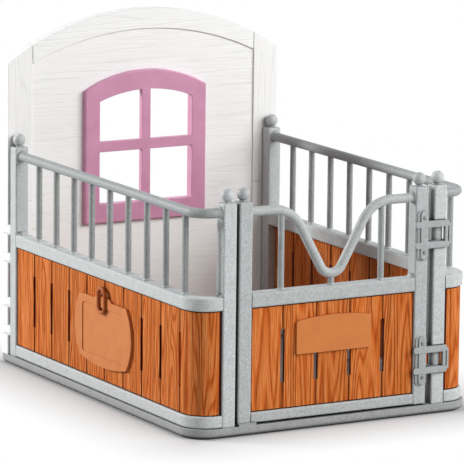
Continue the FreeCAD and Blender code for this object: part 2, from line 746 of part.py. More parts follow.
def make_left_plaque():
    middle, half = station("sizes.plaque_bar"), PLAQUE_HALF
    low = f"({PANEL_Z} + sizes.plaque_rise)"
    high = f"({low} + sizes.plaque_height)"
    bulge = arch_radius("(sizes.plaque_height / 2)", "sizes.plaque_bulge")
    seat = f"(-{SIDE_LINE} - {PANEL_OUT})"
    face = f"({seat} - sizes.plaque_thickness)"

    body = new_body("left_plaque")
    outline = new_sketch(body, "plaque_outline", "YZ_Plane", seat)
    sag = arch_radius(half, "sizes.plaque_sag")
    draw(outline, [
        (f"{middle} + {half}", low, sag, 1),
        (f"{middle} + {half}", high, bulge, 1),
        (f"{middle} + sizes.crest_foot / 2", high),
        (f"{middle} + sizes.crest_top / 2", f"{high} + sizes.crest_height"),
        (f"{middle} - sizes.crest_top / 2", f"{high} + sizes.crest_height"),
        (f"{middle} - sizes.crest_foot / 2", high),
        (f"{middle} - {half}", high),
        (f"{middle} - {half}", low, bulge, 1),
    ])
    pad(body, outline, "sizes.plaque_thickness", reverse=True)
    field = new_sketch(body, "plaque_field", "YZ_Plane", face)
    reach = f"({half} - sizes.plaque_end_rim)"
    draw(field, rounded_corners(f"({middle} - {reach})", f"({middle} + {reach})", f"({low} + sizes.plaque_rim)",
                                f"({high} - sizes.plaque_head)", "sizes.plaque_field_corner"))
    pocket(body, field, "sizes.plaque_field_depth", reverse=True)

    ring = new_body("left_tether_ring")
    floor = f"({low} + sizes.ring_rise)"
    hoop = new_sketch(ring, "ring_hoop", "YZ_Plane", face)
    for shrink in ("0", "sizes.ring_limb"):
        radius = f"(sizes.ring_width / 2 - {shrink})"
        lift = "(sizes.ring_height - sizes.ring_width / 2)"
        draw(hoop, [
            (f"{middle} + {radius}", f"{floor} + {lift}"),
            (middle, f"{floor} + {lift} + {radius}", radius, 1),
            (f"{middle} - {radius}", f"{floor} + {lift}", radius, 1),
            (f"{middle} - {radius}", f"{floor} + sizes.ring_width / 2"),
            (middle, f"{floor} + sizes.ring_width / 2 - {radius}", radius, 1),
            (f"{middle} + {radius}", f"{floor} + sizes.ring_width / 2", radius, 1),
        ])
    limb = pad(ring, hoop, "sizes.ring_thickness", reverse=True)
    doc.recompute()
    outer = level_face(ring.Shape, 0, value(f"{face} - sizes.ring_thickness"))
    soften(ring, "Chamfer", limb, [outer], "sizes.ring_bevel")


# Gate: two posts, a dipped top rail, bars, flat rails and a slotted plank panel with a blank plaque.

LEAN = "(sizes.dip_angle * 1 deg)"
DIP_FOOT = "(sizes.gate_rail_axis - sizes.dip_depth)"
DIP_FOOT_X = f"(sizes.dip_bottom_radius * sin({LEAN}))"
DIP_FOOT_TOP = f"({DIP_FOOT} + sizes.dip_bottom_radius * (1 - cos({LEAN})))"
FLANK_TOP = f"(sizes.gate_rail_axis - sizes.dip_shoulder_radius * (1 - cos({LEAN})))"
FLANK_X = f"({DIP_FOOT_X} + ({FLANK_TOP} - {DIP_FOOT_TOP}) / tan({LEAN}))"
SHOULDER_X = f"({FLANK_X} + sizes.dip_shoulder_radius * sin({LEAN}))"


def make_gate_top_rail():
    """A round rail that dips in a V between two posts, with rounded shoulders and bottom."""
    high = "sizes.gate_rail_axis"
    shoulder, bottom = "sizes.dip_shoulder_radius", "sizes.dip_bottom_radius"
    body = new_body("gate_top_rail")
    path = new_sketch(body, "gate_rail_path", "XZ_Plane", minus(FRONT_LINE))
    draw(path, [
        (GATE_RAIL_LEFT, high),
        (f"{GATE_MIDDLE} - {SHOULDER_X}", high),
        (f"{GATE_MIDDLE} - {FLANK_X}", FLANK_TOP, shoulder, -1),
        (f"{GATE_MIDDLE} - {DIP_FOOT_X}", DIP_FOOT_TOP),
        (f"{GATE_MIDDLE} + {DIP_FOOT_X}", DIP_FOOT_TOP, bottom, 1),
        (f"{GATE_MIDDLE} + {FLANK_X}", FLANK_TOP),
        (f"{GATE_MIDDLE} + {SHOULDER_X}", high, shoulder, -1),
        (GATE_RAIL_RIGHT, high),
    ], closed=False)
    profile = new_sketch(body, "gate_rail_profile", "YZ_Plane", GATE_RAIL_LEFT)
    draw_circle(profile, FRONT_LINE, high, "sizes.gate_rail_dia / 2")
    pipe(body, profile, path)
    return body


def make_gate_bars(rail):
    """Bars that stand on the gate's mid rail and are hollowed to fit the dipped rail above."""
    along = f"max({SHOULDER_X} - sizes.gate_bar_spacing / 2; 0)"
    shoulder = "sizes.dip_shoulder_radius"
    outer_top = f"(sizes.gate_rail_axis - {shoulder} + sqrt({shoulder} * {shoulder} - {along} * {along}))"
    for label, shift, top in (("gate_bar_left", "-sizes.gate_bar_spacing / 2", outer_top),
                              ("gate_bar_stub", "0", DIP_FOOT),
                              ("gate_bar_right", "sizes.gate_bar_spacing / 2", outer_top)):
        stick = cylinder(f"{label}_stick", f"{GATE_MIDDLE} + {shift}", FRONT_LINE, GATE_MID_TOP,
                         "sizes.bar_dia / 2", f"{top} - {GATE_MID_TOP}")
        cut(label, stick, rail)


def make_gate_rail(label, low, high):
    body = new_body(label)
    section = new_sketch(body, f"{label}_section", "YZ_Plane", GATE_RAIL_LEFT)
    draw(section, rounded_corners(f"({FRONT_LINE} - {POST_HALF})", f"({FRONT_LINE} + {POST_HALF})",
                                  low, high, "sizes.rail_edge_round"))
    pad(body, section, f"{GATE_RAIL_RIGHT} - {GATE_RAIL_LEFT}")


def make_gate_panel():
    body = new_body("gate_panel")
    front, rear = f"({FRONT_LINE} - {PANEL_OUT})", f"({FRONT_LINE} - {PANEL_IN})"
    board = new_sketch(body, "gate_board", "XZ_Plane", minus(f"{front} + sizes.shadow_depth"))
    draw(board, box_corners(GATE_RAIL_LEFT, GATE_RAIL_RIGHT, PANEL_Z, MID_Z))
    pad(body, board, "sizes.panel_thickness - sizes.shadow_depth", reverse=True)
    facing = new_sketch(body, "gate_facing", "XZ_Plane", minus(front))
    draw(facing, box_corners(f"{GATE_RAIL_LEFT} + sizes.shadow_gap", f"{GATE_RAIL_RIGHT} - sizes.shadow_gap",
                             f"{PANEL_Z} + sizes.shadow_gap", f"{MID_Z} - sizes.shadow_gap"))
    pad(body, facing, "sizes.shadow_depth", reverse=True)
    room = value(f"({GATE_RAIL_RIGHT} - {GATE_RAIL_LEFT}) / 2 - sizes.gate_slot_pitch / 2")
    pairs = math.floor(room / value("sizes.gate_slot_pitch") + 0.5)
    joints = [f"({GATE_MIDDLE} + {k - pairs + 0.5} * sizes.gate_slot_pitch)" for k in range(2 * pairs)]
    plank_cut(body, "gate_slots", "XZ_Plane", minus(front), joints, "sizes.slot_width", SLOT_LOW, SLOT_HIGH,
              "sizes.panel_thickness", False)
    plank_cut(body, "gate_front_grooves", "XZ_Plane", minus(front), joints, "sizes.groove_width", PANEL_Z, MID_Z,
              "sizes.groove_depth", False)
    plank_cut(body, "gate_rear_grooves", "XZ_Plane", minus(rear), joints, "sizes.groove_width", PANEL_Z, MID_Z,
              "sizes.groove_depth", True)


def make_gate_plaque():
    """A blank plate with an arched top on the gate's panel."""
    plaque = new_body("gate_plaque")
    low = f"({PANEL_Z} + sizes.gate_plaque_rise)"
    high = f"({low} + sizes.gate_plaque_height)"
    left = f"({GATE_MIDDLE} - sizes.gate_plaque_width / 2)"
    right = f"({GATE_MIDDLE} + sizes.gate_plaque_width / 2)"
    corner = "sizes.gate_plaque_corner"
    outline = new_sketch(plaque, "gate_plaque_outline", "XZ_Plane", minus(f"{FRONT_LINE} - {PANEL_OUT}"))
    arch = arch_radius(f"(sizes.gate_plaque_width / 2 - {corner})", "sizes.gate_plaque_arch")
    draw(outline, [
        (f"{right} - {corner}", low),
        (right, f"{low} + {corner}", corner, 1),
        (right, f"{high} - {corner}"),
        (f"{right} - {corner}", high, corner, 1),
        (f"{left} + {corner}", high, arch, 1),
        (left, f"{high} - {corner}", corner, 1),
        (left, f"{low} + {corner}"),
        (f"{left} + {corner}", low, corner, 1),
    ])
    pad(plaque, outline, "sizes.gate_plaque_thickness")


def make_gate():
    make_post("gate_latch_post", f"{GATE_LEFT} + {POST_HALF}", FRONT_LINE, GATE_BOTTOM, peg=False)
    hinge_post = make_post("gate_hinge_post", f"{GATE_RIGHT} - {POST_HALF}", FRONT_LINE, GATE_BOTTOM, peg=False)
    holes = new_sketch(hinge_post, "rivet_holes", "XZ_Plane", POST_HALF)
    for height in rivet_heights():
        draw_circle(holes, "sizes.plate_step / 2", height, "sizes.rivet_dia / 2 + sizes.rivet_fit")
    pocket(hinge_post, holes, "sizes.rivet_grip")
    make_gate_rail("gate_bottom_rail", GATE_BOTTOM, PANEL_Z)
    make_gate_panel()
    make_gate_rail("gate_mid_rail", MID_Z, GATE_MID_TOP)
    make_gate_bars(make_gate_top_rail())
    make_gate_plaque()


# Hinge clasps: each is a stepped plate riveted to the gate post, with two straps that end in open
# rings snapped round the neck of the fence post, an end bar and a lip.

def rivet_heights():
    return [f"(sizes.{which}_hinge_height {sign} sizes.rivet_spacing / 2)"
            for which in ("lower", "upper") for sign in "-+"]


PLATE_MIDDLE = f"(-{POST_HALF} - sizes.hinge_gap - {POST_HALF})"
RIVET_LINE = f"({PLATE_MIDDLE} + sizes.plate_step / 2)"
PLATE_DEPTH = "(sizes.plate_thickness + sizes.plate_raise)"


def make_clasp(which):
    body = new_body(f"{which}_hinge_clasp", DOOR_POST_LINE, FRONT_LINE, f"sizes.{which}_hinge_height")
    face = f"({POST_HALF} + sizes.strap_proud)"
    plate_left = f"({PLATE_MIDDLE} - sizes.plate_width / 2)"
    plate_right = f"({PLATE_MIDDLE} + sizes.plate_width / 2)"
    for part, left, depth in (("plate", plate_left, "sizes.plate_thickness"),
                              ("raised_plate", f"({plate_left} + sizes.plate_step)", PLATE_DEPTH)):
        plate = new_sketch(body, f"{which}_{part}", "XZ_Plane", POST_HALF)
        draw(plate, rounded_corners(left, plate_right, "(-sizes.plate_height / 2)", "(sizes.plate_height / 2)",
                                    "sizes.plate_corner"))
        pad(body, plate, depth)

    half = "(sizes.strap_height / 2)"
    round_end = "sizes.strap_end_round"
    tail = f"({plate_left} - sizes.strap_tail)"
    for side, sign in (("low", "-"), ("high", "")):
        middle = f"({sign}sizes.strap_pitch / 2)"
        strap = new_sketch(body, f"{which}_{side}_strap", "XZ_Plane", face)
        draw(strap, rounded_corners(tail, "sizes.strap_reach", f"({middle} - {half})", f"({middle} + {half})",
                                    round_end))
        pad(body, strap, "sizes.strap_proud", reverse=True)
        root = new_sketch(body, f"{which}_{side}_root", "XZ_Plane", POST_HALF)
        draw(root, box_corners(f"-{POST_HALF} - sizes.hinge_gap + sizes.clasp_side_clear", "sizes.strap_reach",
                               f"{middle} - {half}", f"{middle} + {half}"))
        pad(body, root, "sizes.strap_depth", reverse=True)
        ring = new_sketch(body, f"{which}_{side}_ring", "XY_Plane", f"{middle} - {half}")
        draw_circle(ring, "0", "0", CLASP_RADIUS)
        pad(body, ring, "sizes.strap_height")

    bars = new_sketch(body, f"{which}_end_bars", "XY_Plane", "-sizes.strap_pitch / 2")
    bar_right = "(sizes.strap_reach - sizes.end_bar_setback)"
    back = f"(sizes.strap_depth - {POST_HALF})"
    draw(bars, box_corners(f"{bar_right} - sizes.end_bar_width", bar_right, minus(face), back))
    pad(body, bars, "sizes.strap_pitch")
    lip = new_sketch(body, f"{which}_lip", "XY_Plane", "-sizes.strap_pitch / 2")
    lip_root = "(sizes.strap_reach - sizes.lip_width / 4)"
    draw(lip, box_corners(lip_root, "sizes.strap_reach + sizes.lip_width", minus(face), back))
    pad(body, lip, "sizes.strap_pitch")

    bore = new_sketch(body, f"{which}_bore", "XY_Plane", minus(CLASP_HALF))
    draw_circle(bore, "0", "0", NECK_BORE)
    pocket(body, bore, f"2 * {CLASP_HALF}", reverse=True)
    mouth = new_sketch(body, f"{which}_mouth", "XY_Plane", minus(CLASP_HALF))
    draw(mouth, box_corners("-sizes.clasp_mouth / 2", "sizes.clasp_mouth / 2", "0", f"2 * {CLASP_RADIUS}"))
    pocket(body, mouth, f"2 * {CLASP_HALF}", reverse=True)
    holes = new_sketch(body, f"{which}_rivet_holes", "XZ_Plane", f"{POST_HALF} + {PLATE_DEPTH}")
    for height in ("-sizes.rivet_spacing / 2", "sizes.rivet_spacing / 2"):
        draw_circle(holes, RIVET_LINE, height, "sizes.rivet_dia / 2 + sizes.rivet_fit")
    pocket(body, holes, PLATE_DEPTH)


def make_rivets():
    rivets = []
    front = f"({FRONT_Y} - {PLATE_DEPTH})"
    for index, height in enumerate(rivet_heights(), start=1):
        place = (f"{DOOR_POST_LINE} + {RIVET_LINE}", height)
        shank = cylinder(f"rivet_shank_{index}", place[0], front, place[1], "sizes.rivet_dia / 2",
                         f"{PLATE_DEPTH} + sizes.rivet_grip")
        shank.Placement.Rotation = FreeCAD.Rotation(FreeCAD.Vector(1, 0, 0), -90)
        head = doc.addObject("Part::Cone", f"rivet_head_{index}")
        head.setExpression("Radius1", "sizes.rivet_head_dia / 2")
        head.setExpression("Radius2", "sizes.rivet_head_dia / 3")
        head.setExpression("Height", "sizes.rivet_head_height")
        for axis, where in zip("xyz", (place[0], front, place[1])):
            head.setExpression(f"Placement.Base.{axis}", where)
        head.Placement.Rotation = FreeCAD.Rotation(FreeCAD.Vector(1, 0, 0), 90)
        rivet = doc.addObject("Part::Fuse", f"rivet_{index}")
        rivet.Base = shank
        rivet.Tool = head
        rivets.append(rivet)
    group = doc.addObject("Part::Compound", "hinge_rivets")
    group.Links = rivets
    keep("hinge_rivets", group)


def check_and_write():
    doc.recompute()
    for obj in doc.Objects:
        if "Invalid" in obj.State or "Error" in obj.State:
            raise RuntimeError(f"{obj.Label} failed: {obj.State}")
    for node in nodes:
        if node.Shape.isNull() or not node.Shape.isValid() or not node.Shape.Solids:
            raise RuntimeError(f"{node.Label} has no valid solid")
    os.makedirs("parts", exist_ok=True)
    for node in nodes:
        node.Shape.exportStep(f"parts/{node.Label}.step")
        print(f"{node.Label}: {len(node.Shape.Solids)} solid(s), {node.Shape.Volume:.1f} mm3")


make_base()
make_wall()
make_window()
make_fences()
make_left_plaque()
make_gate()
for hinge in ("lower", "upper"):
    make_clasp(hinge)
make_rivets()
check_and_write()
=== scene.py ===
import bpy
import bmesh
import math
from mathutils import Matrix, Vector


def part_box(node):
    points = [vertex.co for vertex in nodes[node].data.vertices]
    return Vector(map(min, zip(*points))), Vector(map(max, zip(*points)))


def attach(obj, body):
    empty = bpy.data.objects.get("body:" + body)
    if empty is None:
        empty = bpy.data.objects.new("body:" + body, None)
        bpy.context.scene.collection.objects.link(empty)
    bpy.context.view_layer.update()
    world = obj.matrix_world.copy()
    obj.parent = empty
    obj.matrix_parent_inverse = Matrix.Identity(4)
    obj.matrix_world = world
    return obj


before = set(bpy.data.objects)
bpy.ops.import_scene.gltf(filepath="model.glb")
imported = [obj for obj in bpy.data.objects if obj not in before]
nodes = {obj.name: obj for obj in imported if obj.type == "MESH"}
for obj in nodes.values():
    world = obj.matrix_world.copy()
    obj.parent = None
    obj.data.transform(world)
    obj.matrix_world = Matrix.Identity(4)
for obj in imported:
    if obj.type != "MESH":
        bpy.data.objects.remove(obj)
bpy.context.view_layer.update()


# Base plate: a plinth moulded in grey ABS, rounded under its outer edge, with a satin, faintly
# pitted skin. It carries the posts on pegs and the wall in slots.

MM = 0.001


def linear(hex_code):
    """An sRGB hex colour as linear RGBA."""
    channels = [int(hex_code[k:k + 2], 16) / 255 for k in (1, 3, 5)]
    return [c / 12.92 if c <= 0.04045 else ((c + 0.055) / 1.055) ** 2.4 for c in channels] + [1.0]


def put(tree, kind, inputs=None, stops=(), **settings):
    """Adds a node, sets its settings and any colour stops, and either sets or links its inputs."""
    added = tree.nodes.new(kind)
    for name, setting in settings.items():
        setattr(added, name, setting)
    for k, (position, hex_code) in enumerate(stops):
        stop = added.color_ramp.elements[k] if k < 2 else added.color_ramp.elements.new(position)
        stop.position, stop.color = position, linear(hex_code)
    for name, given in (inputs or {}).items():
        if isinstance(given, bpy.types.NodeSocket):
            tree.links.new(given, added.inputs[name])
        else:
            added.inputs[name].default_value = given
    return added


def new_material(name):
    """An empty material with its tree and the object's own coordinates."""
    material = bpy.data.materials.new(name)
    material.use_nodes = True
    tree = material.node_tree
    tree.nodes.clear()
    return material, tree, put(tree, "ShaderNodeTexCoord").outputs["Object"]


def wear(material, *names):
    """Gives the named CAD pieces this material."""
    for name in names:
        nodes[name].data.materials.clear()
        nodes[name].data.materials.append(material)


def corner_shade(tree, colour, reach, shade):
    """Turns a colour to a painted shade in corners narrower than the reach, where ambient occlusion finds
    them closed.
    """
    open_share = put(tree, "ShaderNodeAmbientOcclusion", {"Distance": reach}, samples=8).outputs["AO"]
    amount = put(tree, "ShaderNodeMapRange", {
        "Value": open_share, "From Min": 0.2, "From Max": 0.6}).outputs["Result"]
    return put(tree, "ShaderNodeMix", {"Factor": amount, "A": linear(shade), "B": colour},
               data_type="RGBA").outputs["Result"]


def relief(tree, height, strength, depth, edge):
    """The normal of a surface with a bump of this depth, whose edges are rounded to this radius."""
    rounded = put(tree, "ShaderNodeBevel", {"Radius": edge}, samples=4).outputs["Normal"]
    bump = put(tree, "ShaderNodeBump", {
        "Height": height, "Strength": strength, "Distance": depth, "Normal": rounded})
    return bump.outputs["Normal"]


def moulded_grey(name, dark, light, roughness=0.5, reach=5 * MM):
    """Satin grey ABS: a fine speckle from its pitted skin, over a soft mottle about 4 mm across, and
    painted shade of dark grey in its corners.
    """
    material, tree, place = new_material(name)
    mottle = put(tree, "ShaderNodeTexNoise", {
        "Vector": place, "Scale": 1 / (4 * MM), "Detail": 3.0}).outputs["Fac"]
    # the pits are about 0.15 mm on the toy and are drawn 0.6 mm wide so that they show
    pits = put(tree, "ShaderNodeTexNoise", {
        "Vector": place, "Scale": 1 / (0.6 * MM), "Detail": 2.0}).outputs["Fac"]
    tone = put(tree, "ShaderNodeMix", {"Factor": 0.8, "A": mottle, "B": pits}).outputs["Result"]
    colour = put(tree, "ShaderNodeValToRGB", {"Fac": tone}, [(0.28, dark), (0.72, light)]).outputs["Color"]
    uneven = 0.06
    gloss = put(tree, "ShaderNodeMapRange", {
        "Value": mottle, "To Min": roughness - uneven, "To Max": roughness + uneven}).outputs["Result"]
    shader = put(tree, "ShaderNodeBsdfPrincipled", {
        "Base Color": corner_shade(tree, colour, reach, "#26292A"), "Roughness": gloss, "IOR": 1.5,
        "Specular IOR Level": 0.3,
        "Normal": relief(tree, pits, strength=0.35, depth=0.08 * MM, edge=0.8 * MM)})
    put(tree, "ShaderNodeOutputMaterial", {"Surface": shader.outputs["BSDF"]})
    return material


# the base wears a darker grey than the frame: painted shade for its rounded-under sides and low ledge
wear(moulded_grey("grey_base_shaded_abs", "#868888", "#AEB0B0"), "base_plate")


# Back wall: a board moulded in white ABS with a wood grain pressed into it. The grain runs
# across the field and up the border's side boards. The wall stands in the base's slots.

def grain_lines(tree, place, fibre_size, figure_size, lines, groove, fibre_share):
    """Wood figure: thin grooves along the contours of a stretched noise, which close in loops as
    grain does, between lands of fine fibre. Both run from 0, deep, to 1, high."""
    figure_place = put(tree, "ShaderNodeMapping", {
        "Vector": place, "Scale": [1 / size for size in figure_size]}).outputs["Vector"]
    figure = put(tree, "ShaderNodeTexNoise", {
        "Vector": figure_place, "Scale": 1.0, "Detail": 1.0, "Roughness": 0.5}).outputs["Fac"]
    phase = put(tree, "ShaderNodeMath", {0: figure, 1: lines * math.pi},
                operation="MULTIPLY").outputs["Value"]
    wave = put(tree, "ShaderNodeMath", {0: phase}, operation="SINE").outputs["Value"]
    valley = put(tree, "ShaderNodeMath", {0: wave}, operation="ABSOLUTE").outputs["Value"]
    land = put(tree, "ShaderNodeMapRange", {"Value": valley, "From Max": groove},
               interpolation_type="SMOOTHSTEP").outputs["Result"]
    fibre_place = put(tree, "ShaderNodeMapping", {
        "Vector": place, "Scale": [1 / size for size in fibre_size]}).outputs["Vector"]
    fibre = put(tree, "ShaderNodeTexNoise", {
        "Vector": fibre_place, "Scale": 1.0, "Detail": 3.0, "Roughness": 0.65}).outputs["Fac"]
    spread = put(tree, "ShaderNodeMapRange", {
        "Value": fibre, "From Min": 0.3, "From Max": 0.7}).outputs["Result"]
    return put(tree, "ShaderNodeMix", {"Factor": fibre_share, "A": land, "B": spread}).outputs["Result"]


def white_grained():
    """White ABS: grain about 3 mm apart, level across the field and upright on the side boards."""
    material, tree, place = new_material("white_grained_abs")
    fibre_long, fibre_wide = 16 * MM, 0.9 * MM
    figure_long, figure_wide = 200 * MM, 10 * MM
    # half the width between the border's side boards
    field_half = 63.1 * MM
    level = grain_lines(tree, place, (fibre_long, fibre_long, fibre_wide),
                        (figure_long, figure_long, figure_wide), lines=9, groove=0.4, fibre_share=0.55)
    upright = grain_lines(tree, place, (fibre_wide, fibre_wide, fibre_long),
                          (figure_wide, figure_wide, figure_long), lines=9, groove=0.4, fibre_share=0.55)
    across = put(tree, "ShaderNodeSeparateXYZ", {"Vector": place}).outputs["X"]
    off_middle = put(tree, "ShaderNodeMath", {0: across}, operation="ABSOLUTE").outputs["Value"]
    border = put(tree, "ShaderNodeMath", {0: off_middle, 1: field_half},
                 operation="GREATER_THAN").outputs["Value"]
    grain = put(tree, "ShaderNodeMix", {"Factor": border, "A": level, "B": upright}).outputs["Result"]
    colour = put(tree, "ShaderNodeValToRGB", {"Fac": grain},
                 [(0.1, "#ECECEB"), (0.45, "#F4F4F3"), (0.9, "#F8F8F7")]).outputs["Color"]
    shader = put(tree, "ShaderNodeBsdfPrincipled", {
        "Base Color": colour, "Roughness": 0.5, "IOR": 1.5,
        "Normal": relief(tree, grain, strength=0.4, depth=0.25 * MM, edge=0.6 * MM)})
    put(tree, "ShaderNodeOutputMaterial", {"Surface": shader.outputs["BSDF"]})
    return material


wear(white_grained(), "back_wall")


# Window frame: a plain frame moulded in pink ABS with a satin face. Its lip drops into the
# wall's opening and its face lies on the wall.

def satin_pink():
    """Pink ABS: even colour with a soft cloud about 8 mm across and a smooth satin skin."""
    material, tree, place = new_material("pink_satin_abs")
    cloud = put(tree, "ShaderNodeTexNoise", {
        "Vector": place, "Scale": 1 / (8 * MM), "Detail": 2.0}).outputs["Fac"]
    colour = put(tree, "ShaderNodeValToRGB", {"Fac": cloud},
                 [(0.3, "#CC8DAC"), (0.7, "#D597B6")]).outputs["Color"]
    # the skin's grain is about 0.1 mm on the toy and is drawn 0.6 mm wide so that it shows
    skin = put(tree, "ShaderNodeTexNoise", {
        "Vector": place, "Scale": 1 / (0.6 * MM), "Detail": 1.0}).outputs["Fac"]
    shader = put(tree, "ShaderNodeBsdfPrincipled", {
        "Base Color": colour, "Roughness": 0.38, "IOR": 1.5,
        "Normal": relief(tree, skin, strength=0.12, depth=0.04 * MM, edge=0.6 * MM)})
    put(tree, "ShaderNodeOutputMaterial", {"Surface": shader.outputs["BSDF"]})
    return material


wear(satin_pink(), "window_frame")


# Fences: posts, rails and bars moulded in grey ABS; the round rails and thin bars wear a darker copy of
# it, painted shade for the less light that reaches them. Each bar has a small flared foot where the
# moulding runs into the mid rail, and the rails run into the posts with flares and hollow corners.

FRAME_TONES = ("#AAAEAE", "#D4D8D8")
frame_grey = moulded_grey("grey_frame_abs", *FRAME_TONES)
# a darker copy of the frame's grey for the bars and round top rails: painted shade
bars_shaded_grey = moulded_grey("grey_bar_shaded_abs", "#868A8A", "#AEB2B2")
# the shade reaches further on the hinge post, into the necks between the clasps' straps
neck_grey = moulded_grey("grey_neck_abs", *FRAME_TONES, reach=14 * MM)
wear(frame_grey, "left_front_post")
wear(neck_grey, "right_hinge_post")


def flare(mesh, place, radius):
    """A hollow-curved collar where a round bar runs into a flat face; place is a matrix at the face.
    Its inner wall is sunk in the bar."""
    spread, height, sunk, steps = 0.7 * MM, 1.1 * MM, 0.2 * MM, 4
    before = set(mesh.verts)
    profile = [mesh.verts.new((radius - sunk, 0, height)), mesh.verts.new((radius - sunk, 0, 0))]
    for k in range(steps + 1):
        turn = k / steps * math.pi / 2
        out, rise = spread * (1 - math.sin(turn)), height * (1 - math.cos(turn))
        profile.append(mesh.verts.new((radius + out, 0, rise)))
    edges = [mesh.edges.new(pair) for pair in zip(profile, profile[1:] + profile[:1])]
    bmesh.ops.spin(mesh, geom=profile + edges, cent=(0, 0, 0), axis=(0, 0, 1), angle=2 * math.pi, steps=20,
                   use_merge=True)
    bmesh.ops.transform(mesh, matrix=place, verts=[v for v in mesh.verts if v not in before])


def corner_web(mesh, place, width):
    """The hollow corner where an upright runs into a rail, drawn along local X and Z and run along Y."""
    radius, steps = 1.7 * MM, 5
    before = set(mesh.verts)
    outline = [mesh.verts.new((0, -width / 2, 0))]
    for k in range(steps + 1):
        turn = k / steps * math.pi / 2
        out, rise = radius * (1 - math.sin(turn)), radius * (1 - math.cos(turn))
        outline.append(mesh.verts.new((out, -width / 2, rise)))
    run = bmesh.ops.extrude_face_region(mesh, geom=[mesh.faces.new(outline)])
    far_end = [v for v in run["geom"] if isinstance(v, bmesh.types.BMVert)]
    bmesh.ops.translate(mesh, vec=(0, width, 0), verts=far_end)
    bmesh.ops.transform(mesh, matrix=place, verts=[v for v in mesh.verts if v not in before])


def middle(name):
    """The middle of a node's box."""
    low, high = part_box(name)
    return (low + high) / 2


def at(x, y, z, turn=0.0, axis="Y"):
    """A place and a turn in degrees, as a matrix."""
    return Matrix.Translation((x, y, z)) @ Matrix.Rotation(math.radians(turn), 4, axis)


def mesh_piece(name, mesh, material, body):
    """Makes the mesh a piece of the scene that moves with a body."""
    bmesh.ops.recalc_face_normals(mesh, faces=mesh.faces)
    data = bpy.data.meshes.new(name)
    mesh.to_mesh(data)
    mesh.free()
    data.shade_smooth()
    data.materials.append(material)
    piece = bpy.data.objects.new(name, data)
    bpy.context.scene.collection.objects.link(piece)
    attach(piece, body)


def bar_flares(mesh, bars):
    """Flared feet for these bars, where they stand on their rail."""
    for bar in bars:
        low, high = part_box(bar)
        flare(mesh, at(middle(bar).x, middle(bar).y, low.z), (high.x - low.x) / 2)


# the webs stop short of the posts' rounded edges
edge_round = 0.8 * MM
post_low, post_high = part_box("left_rear_post")
web_width = post_high.x - post_low.x - 2 * edge_round
# outward is the sign of X on the side's outer face
for side, front_post, outward in (("left", "left_front_post", -1), ("right", "right_hinge_post", 1)):
    bars = [name for name in nodes if name.startswith(f"{side}_bar_")]
    wear(frame_grey, f"{side}_rear_post", f"{side}_bottom_rail", f"{side}_mid_rail")
    wear(bars_shaded_grey, f"{side}_top_rail", *bars)
    mesh = bmesh.new()
    bar_flares(mesh, bars)
    rear, front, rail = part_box(f"{side}_rear_post"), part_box(front_post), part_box(f"{side}_top_rail")
    rail_z, rail_radius = middle(f"{side}_top_rail").z, (rail[1].z - rail[0].z) / 2
    ledge_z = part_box(f"{side}_mid_rail")[1].z
    rear_x, front_y = middle(f"{side}_rear_post").x, (front[0].y + front[1].y) / 2
    front_x = (front[0] if outward < 0 else front[1]).x
    flare(mesh, at(rear_x, rear[0].y, rail_z, 90, "X"), rail_radius)
    flare(mesh, at(front_x, front_y, rail_z, 90 * outward), rail_radius)
    corner_web(mesh, at(rear_x, rear[0].y, ledge_z, -90, "Z"), web_width)
    corner_web(mesh, at(front_x, front_y, ledge_z, 90 - 90 * outward, "Z"), web_width)
    mesh_piece(f"{side}_fence_flares", mesh, frame_grey, "stall")
